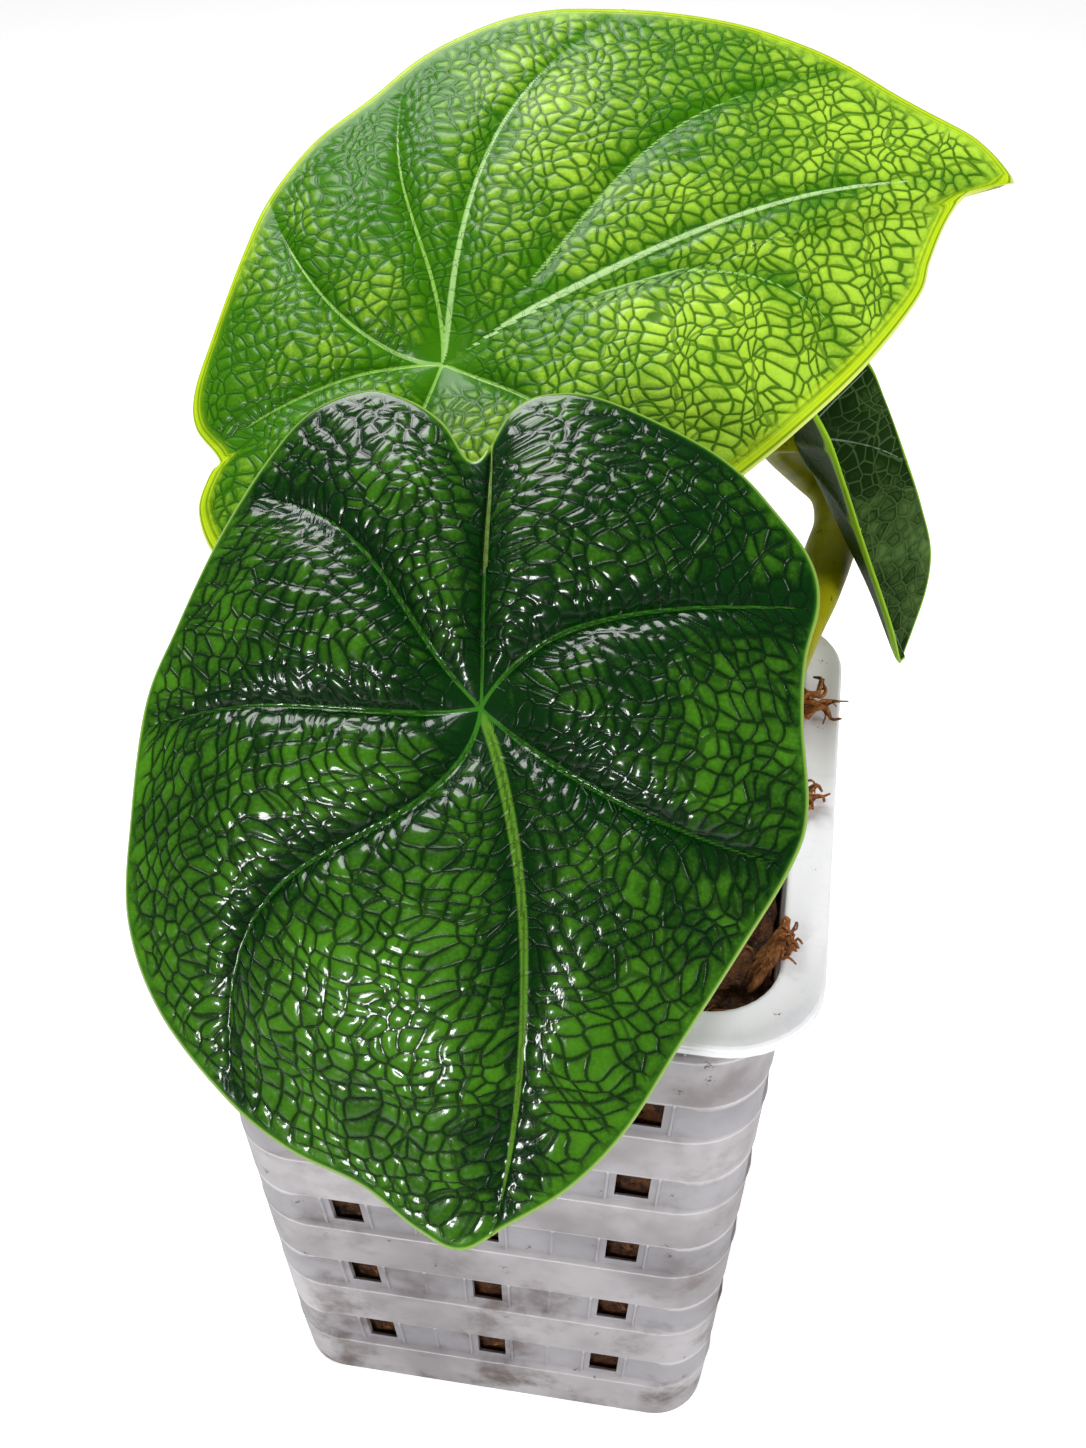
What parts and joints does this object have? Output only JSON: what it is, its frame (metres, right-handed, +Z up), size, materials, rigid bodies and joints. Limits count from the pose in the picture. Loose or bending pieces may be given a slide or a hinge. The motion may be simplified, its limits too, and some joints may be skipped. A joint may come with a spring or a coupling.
{
  "type": "potted plant",
  "caption": "Aroid house plant with thick quilted shield-shaped leaves on arching stalks, growing in a slim square slotted plastic pot that stands on its flat base.",
  "frame": {"origin": "centre of the pot's flat underside, on the surface it stands on", "axes": "+Z up, -Y towards the pot's front wall, over which the front leaf hangs, +X to the right of that wall"},
  "size_m": [0.1201, 0.1636, 0.2093],
  "materials": {
    "pot_plastic": "frosted translucent plastic, dusty",
    "growing_medium": "damp bark, moss and fibre",
    "crown_bark": "papery sheath over a green crown",
    "petiole": "smooth waxy stalk",
    "blade_dark": "glossy quilted leaf",
    "blade_lime": "satin quilted young leaf",
    "blade_slate": "matte grey-green leaf"
  },
  "bodies": {
    "root": {"pot": "pot_plastic", "growing_medium": "growing_medium", "crown": "crown_bark", "petiole_front": "petiole", "petiole_back": "petiole", "petiole_side": "petiole", "blade_front": "blade_dark", "blade_back": "blade_lime", "blade_side": "blade_slate"}
  },
  "joints": []
}
